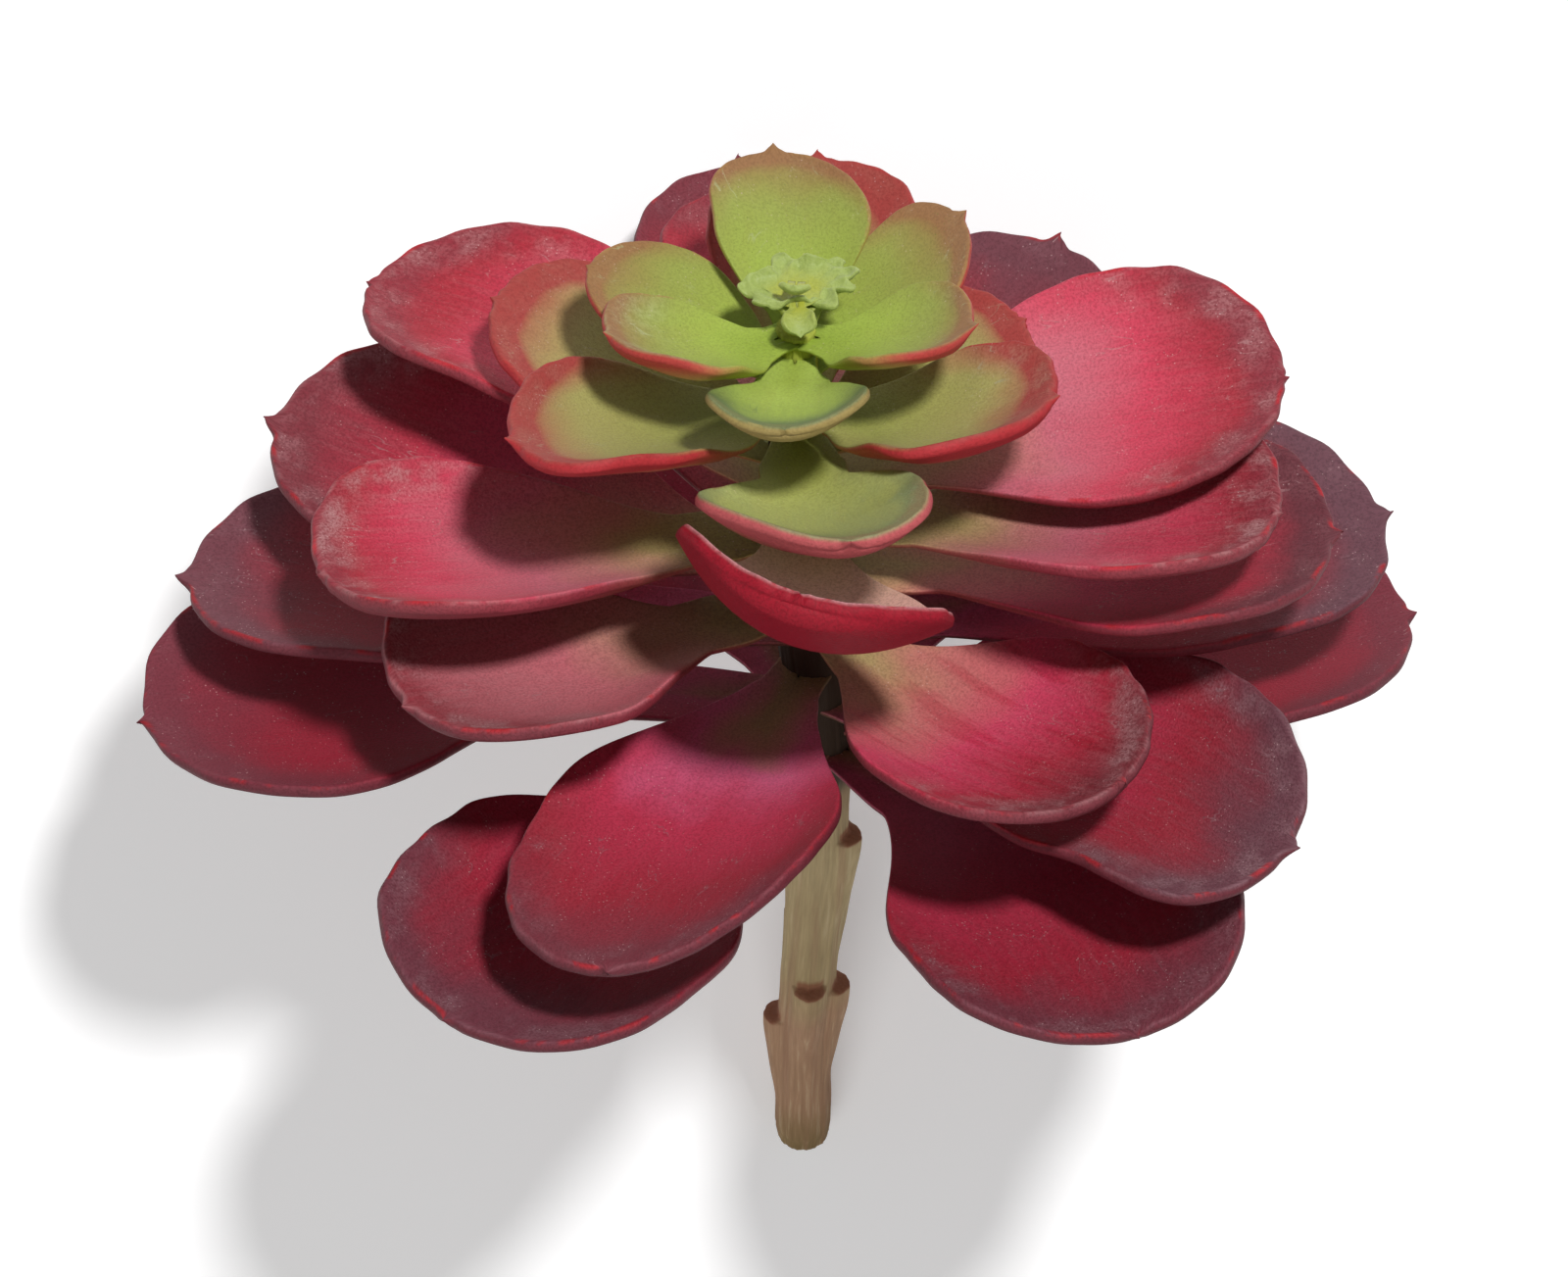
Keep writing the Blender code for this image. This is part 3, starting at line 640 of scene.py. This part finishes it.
whorl("middle_leaf", OUTER, (
    Leaf(143, -4, 74.5, 42, 3, 16, 0, 0, 0.25, 0.2, 0.66, 3.0, 0, 0.6, 0, 0.2, 0.9),
    Leaf(135.6, 47, 58, 42, 2, 12, 0, 0, 0.25, 0.1, 0.66, 3.0, 0, 0.8, 0, 0.3, 0.5),
    Leaf(139.3, 107, 60, 42, 2, 12, 0, 0, 0.25, 0.1, 0.66, 3.0, 0, 0.8, 0, 0.3, 0.5),
    Leaf(143, 169, 78, 44, 3, 19, -2, 0, 0.25, 0.12, 0.62, 3.0, 0, 0.8, 0, 0.7, 0.3),
), MIDDLE_SKIN, OUTER_GRID, first=2)
whorl("middle_leaf", OUTER, (
    Leaf(137.6, -147, 66, 42.5, 6, 20, 8, 0, 0.30, 0.24, 0.68, 3.0, 0, 0.5, 0.02, 1, 0.1),
), PALE_SKIN, OUTER_GRID, first=6)

# ---- Upper leaves ----
# The fourth whorl, the pinkest large leaves: olive necks, a rosy blade and a darker end with a red rim.
# The front one curls up so far that it shows its deep red underside.

UPPER_TOP = (
    (0.00, (0.33, 0.30, 0.08)), (0.18, (0.40, 0.32, 0.12)), (0.34, (0.52, 0.23, 0.18)),
    (0.50, (0.60, 0.15, 0.20)), (0.68, (0.62, 0.056, 0.105)), (0.88, (0.42, 0.022, 0.040)),
    (1.00, (0.30, 0.024, 0.040)),
)
UPPER_BELOW = (
    (0.00, (0.26, 0.20, 0.07)), (0.25, (0.28, 0.08, 0.06)), (0.55, (0.27, 0.032, 0.048)),
    (1.00, (0.24, 0.040, 0.052)),
)
UPPER_SKIN = leaf_material(
    "upper_leaf_skin", UPPER_TOP, UPPER_BELOW,
    (0.52, 0.018, 0.028), (0.48, 0.27, 0.27), (0.22, 0.040, 0.055), 0.12,
)
# Painted light: the front upper leaf's inner face is made brighter than its own colour, where the inner leaf
# above shades it.
UPPER_FRONT_LIT_TOP = (
    (0.00, (0.50, 0.42, 0.14)), (0.25, (0.62, 0.47, 0.22)), (0.50, (0.66, 0.42, 0.29)),
    (0.75, (0.66, 0.36, 0.32)), (1.00, (0.60, 0.28, 0.29)),
)
UPPER_FRONT_BELOW = (
    (0.00, (0.26, 0.20, 0.07)), (0.20, (0.28, 0.03, 0.03)), (0.40, (0.27, 0.006, 0.017)),
    (1.00, (0.31, 0.007, 0.020)),
)
UPPER_FRONT_SKIN = leaf_material(
    "upper_front_leaf_skin", UPPER_FRONT_LIT_TOP, UPPER_FRONT_BELOW,
    (0.40, 0.012, 0.022), (0.48, 0.30, 0.28), (0.40, 0.16, 0.17), 0.03,
)
whorl("upper_leaf", OUTER, (
    Leaf(156.5, -90, 50, 41, -5, 72, -18, 0, 0.35, 0.05, 0.70, 3.4, 0, 0.25, -0.25, 0.6, 0),
), UPPER_FRONT_SKIN, OUTER_GRID)
whorl("upper_leaf", OUTER, (
    Leaf(154.5, -10, 67, 43, 3, 18, -9, 0, 0.30, 0.18, 0.72, 3.0, 0, 0.2, 0.08, 1.1, 0.5),
    Leaf(160.5, 17, 69, 43, 6, 16, 8, -21, 0.25, 0.12, 0.64, 2.6, 0, 0.2, 0, 0.6, 0.5),
    Leaf(154, 90, 62, 44, 2, 8, 0, 0, 0.25, 0.1, 0.66, 3.0, 0, 0.8, 0, 0.3, 0.4),
    Leaf(159.2, 144, 68.5, 42.5, 9, 13, 10, 16, 0.25, 0.14, 0.62, 2.4, 0.2, 0.3, -0.05, 0.7, 0.1),
    Leaf(152.5, -161.5, 70, 43, 3, 18, 13, 0, 0.30, 0.18, 0.72, 3.0, 0, 0.2, 0.08, 1.1, 0.1),
), UPPER_SKIN, OUTER_GRID, first=2)

# ---- Inner leaves ----
# The fifth whorl, half the size and thinner: yellow-green in the middle, flushed red at the rims and red
# beneath.  Its front leaf is paler and reaches out over the whorl below.

INNER_GRID = (80, 35)
INNER = Form(8.0, 13.0, 0.18, 4.0, 3.2, 1.6, 2.1, 4.9)
INNER_TOP = (
    (0.00, (0.24, 0.27, 0.05)), (0.30, (0.33, 0.34, 0.085)), (0.66, (0.37, 0.34, 0.11)),
    (0.84, (0.38, 0.22, 0.095)), (1.00, (0.36, 0.050, 0.044)),
)
INNER_BELOW = (
    (0.00, (0.26, 0.30, 0.06)), (0.34, (0.36, 0.32, 0.09)), (0.60, (0.42, 0.12, 0.07)),
    (0.85, (0.42, 0.030, 0.036)),
)
INNER_SKIN = leaf_material(
    "inner_leaf_skin", INNER_TOP, INNER_BELOW,
    (0.42, 0.035, 0.035), (0.36, 0.36, 0.24), (0.36, 0.05, 0.045), 0.38,
    flush_reach=7.0, brush=0.05, coarse=0.7,
)
INNER_FRONT_BELOW = (
    (0.00, (0.26, 0.30, 0.06)), (0.40, (0.36, 0.32, 0.10)), (0.62, (0.44, 0.20, 0.11)),
    (0.82, (0.46, 0.090, 0.095)),
)
INNER_FRONT_TOP = (
    (0.00, (0.34, 0.36, 0.07)), (0.30, (0.42, 0.45, 0.12)), (0.66, (0.43, 0.46, 0.15)),
    (0.88, (0.29, 0.33, 0.14)), (1.00, (0.32, 0.28, 0.14)),
)
INNER_FRONT_SKIN = leaf_material(
    "inner_front_leaf_skin", INNER_FRONT_TOP, INNER_FRONT_BELOW,
    (0.34, 0.16, 0.09), (0.26, 0.33, 0.17), (0.30, 0.07, 0.065), 0.30,
    flush_reach=4.5, brush=0.05, coarse=0.7,
)
whorl("inner_leaf", INNER, (
    Leaf(174, -86, 39, 32, 2, 41, 2, 0, 0.36, 0.3, 0.68, 2.4, 0.3, 0.8, 0.06, 1.2, 0.2),
), INNER_FRONT_SKIN, INNER_GRID)
whorl("inner_leaf", INNER, (
    Leaf(178.5, -30, 36, 31, 2, 33, -12, 18, 0.32, 0.1, 0.60, 2.6, 0.25, 0.7, 0.02, 0.35, 0.4),
    Leaf(168.5, 26, 34, 28, 13, 21, 0, 0, 0.12, 0.1, 0.60, 2.6, 0, 0.4, 0.1, 0.1, 0.1),
    Leaf(175, 86, 41, 31, 12, 20, 0, 0, 0.25, 0.1, 0.66, 3.0, 0, 0.7, -0.2, 0.1, 0.5),
    Leaf(167, 159, 46, 32, 18, 24, 2, 4, 0.12, 0.1, 0.62, 2.6, 0, 0.4, 0, 0.2, 0.2),
    Leaf(179, -149, 43, 31, 0, 30, 13, -16, 0.32, 0.1, 0.60, 3.0, 0.25, 0.8, 0.02, 0.25, 0.5),
), INNER_SKIN, INNER_GRID, first=2)

# ---- Crown leaves ----
# The innermost whorl: young, thin, bright yellow-green leaves that rise round the growing point, with a
# pinkish brown flush at their ends.

CROWN_GRID = (72, 31)
CROWN = Form(6.0, 11.0, 0.22, 3.0, 2.4, 1.2, 1.9, 3.7)
# The green darkens to olive from about 0.3 to 0.68 along: painted shade on the leaves' outer half. The
# pinkish brown past that is their own flush.
CROWN_TOP = (
    (0.00, (0.26, 0.36, 0.04)), (0.30, (0.33, 0.43, 0.065)), (0.68, (0.30, 0.34, 0.070)),
    (0.90, (0.30, 0.24, 0.065)), (1.00, (0.30, 0.15, 0.055)),
)
CROWN_BELOW = (
    (0.00, (0.28, 0.36, 0.05)), (0.45, (0.36, 0.40, 0.07)), (0.70, (0.40, 0.22, 0.07)),
    (0.92, (0.42, 0.05, 0.04)),
)
CROWN_SKIN = leaf_material(
    "crown_leaf_skin", CROWN_TOP, CROWN_BELOW,
    (0.36, 0.20, 0.07), (0.42, 0.46, 0.24), (0.30, 0.15, 0.07), 0.15,
    flush_reach=4.0, brush=0.05, freckles=0.6, coarse=0.6,
)
CROWN_FRONT_BELOW = ((0.00, (0.28, 0.36, 0.05)), (0.60, (0.30, 0.36, 0.08)), (0.95, (0.32, 0.24, 0.08)))
# Dark green from about 0.9 along to the end: painted shade where the leaf's front curves away from the
# light.
CROWN_FRONT_SHADED_TOP = (
    (0.00, (0.30, 0.38, 0.05)), (0.35, (0.41, 0.52, 0.10)), (0.62, (0.36, 0.46, 0.09)),
    (0.92, (0.15, 0.20, 0.075)), (1.00, (0.20, 0.21, 0.085)),
)
# Its dark green film colour lays a band of painted shade near the rim, where the leaf curves down, in place
# of bloom.
CROWN_FRONT_SKIN = leaf_material(
    "crown_front_leaf_skin", CROWN_FRONT_SHADED_TOP, CROWN_FRONT_BELOW,
    (0.34, 0.27, 0.09), (0.15, 0.21, 0.09), (0.30, 0.22, 0.08), 0.30,
    flush_reach=6.0, brush=0.05, coarse=0.6,
)
# Its high bloom value, 1.5, sets how strongly that band of painted shade is laid.
whorl("crown_leaf", CROWN, (
    Leaf(188.4, -93, 28, 23, 8, 40, 4, 0, 0.32, 0.25, 0.68, 2.6, 0, 0.3, 0.06, 1.5, 0),
), CROWN_FRONT_SKIN, CROWN_GRID)
whorl("crown_leaf", CROWN, (
    Leaf(191.4, -24, 24.5, 22, 8, 34, -12, 12, 0.33, 0.1, 0.58, 3.0, 0, 1.0, 0, 0.2, 0.8),
    Leaf(184.5, 37, 30, 21, 20, 25, -6, -5, 0.12, 0.1, 0.58, 2.6, 0.3, 0.7, -0.1, 0.1, 0.7),
    Leaf(189, 92, 29, 23, 20, 22, 0, 0, 0.25, 0.1, 0.58, 2.6, 0.2, 0.8, 0, 0.1, 0.7),
    Leaf(183, 157, 31, 22, 22, 26, 2, 8, 0.12, 0.1, 0.55, 2.2, 0.1, 0.3, -0.02, 0.1, 0.3),
    Leaf(191.4, -151, 26, 22, 1, 34, 12, -14, 0.33, 0.1, 0.58, 3.0, -0.3, 0.5, 0, 0.6, 0.8),
), CROWN_SKIN, CROWN_GRID, first=2)

# ---- Heart ----
# The growing point: a thin frilled plate, pale green, on a short yellow-green stalk, with a tongue-shaped
# leaflet hanging from it at the front and a small curled one on top.

HEART_GAP = 0.35
HEART_SIDE = 0.6
HEART_BACK = 3.4
HEART_RING = 4.4
HEART_COLUMNS = 240
HEART_ROWS = 90
STALK_SPREAD = 8.8
STALK_INTO_STEM = 0.8
HEART_LOBES = ((11, 9.0, 13), (38, 8.3, 12), (75, 4.6, 16), (124, 6.9, 16), (152, 5.2, 8), (189, 9.3, 17),
               (217, 8.0, 12), (240, 7.0, 14), (272, 5.0, 12), (314, 7.9, 15), (346, 8.2, 11))
HEART_PROFILE = (
    (0.00, 0.0), (0.24, 0.0), (0.20, 0.5), (0.19, 1.6), (0.22, 2.6), (0.30, 3.6), (0.42, 4.3), (0.62, 4.8),
    (0.82, 5.2), (0.96, 5.7), (1.00, 6.15), (0.985, 6.5), (0.93, 6.55), (0.78, 6.2), (0.55, 5.95),
    (0.30, 5.7), (0.00, 5.6),
)


def heart_surface():
    """A profile turned round the stalk, its outer part stretched to a lobed outline and ruffled up and down.

    The outline is a ring plus a bell-shaped bump for each lobe; ruffles are sines of the angle that grow
    with the cube of the distance out.
    """
    angle = np.linspace(0, 2 * np.pi, HEART_COLUMNS, endpoint=False)
    outline = HEART_RING + 0 * angle
    for at, far, spread in HEART_LOBES:
        turn = np.abs((angle - np.radians(at) + np.pi) % (2 * np.pi) - np.pi)
        outline = outline + (far - HEART_RING) * np.exp(-(turn / np.radians(spread)) ** 2)
    outline = outline + 0.07 * np.sin(19 * angle) + 0.04 * np.sin(31 * angle + 1)
    share, rise = np.array(HEART_PROFILE).T
    fine = np.linspace(0, len(share) - 1, HEART_ROWS)
    share = np.interp(fine, np.arange(len(share)), share)
    rise = np.interp(fine, np.arange(len(rise)), rise)
    s, a = np.meshgrid(share, angle, indexing="ij")
    stalk = STALK_SPREAD * s
    far = smooth_step(0.25, 0.7, s)
    reach = stalk * (1 - far) + outline * s * far
    ruffle = 0.6 * np.cos(4 * a + 1) + 0.4 * np.sin(7 * a) + 0.15 * np.sin(13 * a + 2)
    ripple = 0.16 * np.sin(2.4 * reach + 3 * a) + 0.12 * np.sin(5 * a + 3.1 * reach)
    z = HEART_GAP + rise[:, None] + ruffle * s ** 3 * far + ripple * far
    x = reach * np.cos(a) + HEART_SIDE * smooth_step(0.2, 0.7, s)
    y = reach * np.sin(a) + HEART_BACK * smooth_step(0.2, 0.7, s)
    sunk = z - STALK_INTO_STEM * (s < 0.245) * (z < 0.6)
    points = stem_centre(STEM_LENGTH) + np.stack([x, y, sunk], -1)
    place = np.stack([x, y, z], -1)
    return points, {"place": place, "far": far * (rise[:, None] > 4.0)}


def heart_material():
    """Pale, slightly wrinkled green on the plate, clearer yellow-green down the stalk."""
    material, shader, value = new_material("heart_skin", 0.5, sheen=0.1)
    place = value.node("ShaderNodeAttribute", {"attribute_name": "place"}, None, "Vector")
    far = value.node("ShaderNodeAttribute", {"attribute_name": "far"}, None, "Fac")
    patches = place.noise(2.4, 4.0, 0.6)
    grain = place.noise(0.5, 3.0, 0.7)
    colour = far.over((0.38, 0.40, 0.04), (0.33, 0.41, 0.10))
    colour = (patches.between(0.35, 0.7) * 0.4).over(colour, (0.37, 0.45, 0.14))
    colour = (1 - grain.between(0.30, 0.62)).over(colour, (0.84, 0.86, 0.8), "MULTIPLY")
    finish_shader(value, shader, colour, grain * 0.2 + 0.4, patches + grain * 0.4, 0.35)
    return material


HEART_SKIN = heart_material()
HEART_POINTS, HEART_MARKS = heart_surface()
closed_piece("heart_skin", HEART_POINTS, HEART_MARKS, HEART_SKIN, "heart")
LEAFLET_GRID = (40, 21)
TONGUE = Form(2.4, 3.4, 0.25, 1.4, 1.2, 0.9, 0.5, 2.3)
CURL = Form(2.6, 3.0, 0.30, 0.9, 0.8, 0.7, 0.4, 0.8)
TONGUE_LEAF = Leaf(198.3, -84, 4.6, 4.6, -4, -30, 0, 0, 0.30, 0.12, 0.60, 3.0, 0, 1.0, 0, 0, 0)
CURL_LEAF = Leaf(200.65, -96, 3.0, 4.2, 15, 78, 0, 0, 0.35, 0.15, 0.55, 3.0, 0, 1.0, 0, 0, 0)
for leaflet, form, leaf in (("heart_tongue", TONGUE, TONGUE_LEAF), ("heart_curl", CURL, CURL_LEAF)):
    points, marks = leaf_surface(leaf, form, *LEAFLET_GRID)
    marks["far"] = marks["along"]
    closed_piece(f"{leaflet}_skin", points, marks, HEART_SKIN, leaflet)

# ---- Floor ----
# A plain pale studio surface under the plant, a single matte sheet far wider than it.  It glows faintly,
# which keeps the plant's shadow pale.

FLOOR_HALF = 4.0
FLOOR_GLOW = 0.22


def floor_material():
    """Matte off-white with the faintest mottling."""
    material, shader, value = new_material("pale_floor", 0.8, specular=0.2)
    place = value.node("ShaderNodeTexCoord", None, None, "Object")
    mottle = place.noise(0.4, 2.0)
    colour = mottle.over((0.86, 0.86, 0.86), (0.90, 0.90, 0.90))
    shader.inputs["Emission Color"].default_value = (1, 1, 1, 1)
    shader.inputs["Emission Strength"].default_value = FLOOR_GLOW
    value.tree.links.new(colour.socket, shader.inputs["Base Color"])
    return material


floor_mesh = bpy.data.meshes.new("floor")
corners = [(x * FLOOR_HALF, y * FLOOR_HALF, 0) for x, y in ((-1, -1), (1, -1), (1, 1), (-1, 1))]
floor_mesh.from_pydata(corners, [], [(0, 1, 2, 3)])
floor_mesh.materials.append(floor_material())
floor = bpy.data.objects.new("floor", floor_mesh)
bpy.context.scene.collection.objects.link(floor)

# ---- Camera ----
# 47 degrees above the upright plant's side, so that the laid plant is seen nearly from above.  Its focal
# length and its aim off the middle are in pixels of a picture 1600 wide.

CAMERA_PITCH = np.radians(47)
CAMERA_DISTANCE = 900.0
AIM_HEIGHT = 110.0
PICTURE_WIDTH = 1600
FOCAL_LENGTH = 5850
AIM_OFF_RIGHT = -12 / FOCAL_LENGTH
AIM_OFF_UP = 72.5 / FOCAL_LENGTH
SENSOR_WIDTH = 36

level_ahead = np.array([0, np.cos(CAMERA_PITCH), -np.sin(CAMERA_PITCH)])
level_up = np.array([0, np.sin(CAMERA_PITCH), np.cos(CAMERA_PITCH)])
eye = np.array([0, 0, AIM_HEIGHT]) - CAMERA_DISTANCE * level_ahead
ahead = level_ahead + AIM_OFF_RIGHT * np.array([1, 0, 0]) + AIM_OFF_UP * level_up
ahead /= np.linalg.norm(ahead)
right = np.cross(ahead, level_up)
right /= np.linalg.norm(right)
upward = np.cross(right, ahead)
camera_data = bpy.data.cameras.new("camera")
camera_data.lens = SENSOR_WIDTH * FOCAL_LENGTH / PICTURE_WIDTH
camera = bpy.data.objects.new("camera", camera_data)
turned = LAID @ np.stack([right, upward, -ahead], 1)
camera.matrix_world = Matrix.Translation(lay(eye)) @ Matrix(turned.tolist()).to_4x4()
bpy.context.scene.collection.objects.link(camera)
bpy.context.scene.camera = camera

# ---- Lights ----
# A small key light from the camera's upper right, a broad fill from its lower left, and a pale room that
# lights the shadows evenly.

KEY = {"direction": (0.24, 0.38, 1.0), "distance": 1.35, "size": 0.15, "power": 15.5}
FILL = {"direction": (-0.2, -0.75, 0.65), "distance": 1.6, "size": 1.2, "power": 9.0}
ROOM_LIGHT = 0.19


def soft_light(name, direction, distance, size, power):
    """A round area light aimed at the plant.  direction is in the camera's own right, up and back."""
    to_right, to_top, to_camera = direction
    middle = lay(np.array([0, 0, AIM_HEIGHT]))
    away = LAID @ (to_right * right + to_top * upward - to_camera * ahead)
    away /= np.linalg.norm(away)
    data = bpy.data.lights.new(name, "AREA")
    data.shape = "DISK"
    data.size = size
    data.energy = power
    light = bpy.data.objects.new(name, data)
    light.location = Vector(middle + away * distance)
    light.rotation_euler = Vector(-away).to_track_quat("-Z", "Y").to_euler()
    bpy.context.scene.collection.objects.link(light)


soft_light("key", **KEY)
soft_light("fill", **FILL)
world = bpy.data.worlds.new("room")
world.use_nodes = True
world.node_tree.nodes["Background"].inputs["Color"].default_value = (1, 1, 1, 1)
world.node_tree.nodes["Background"].inputs["Strength"].default_value = ROOM_LIGHT
bpy.context.scene.world = world
bpy.context.scene.view_settings.view_transform = "Standard"
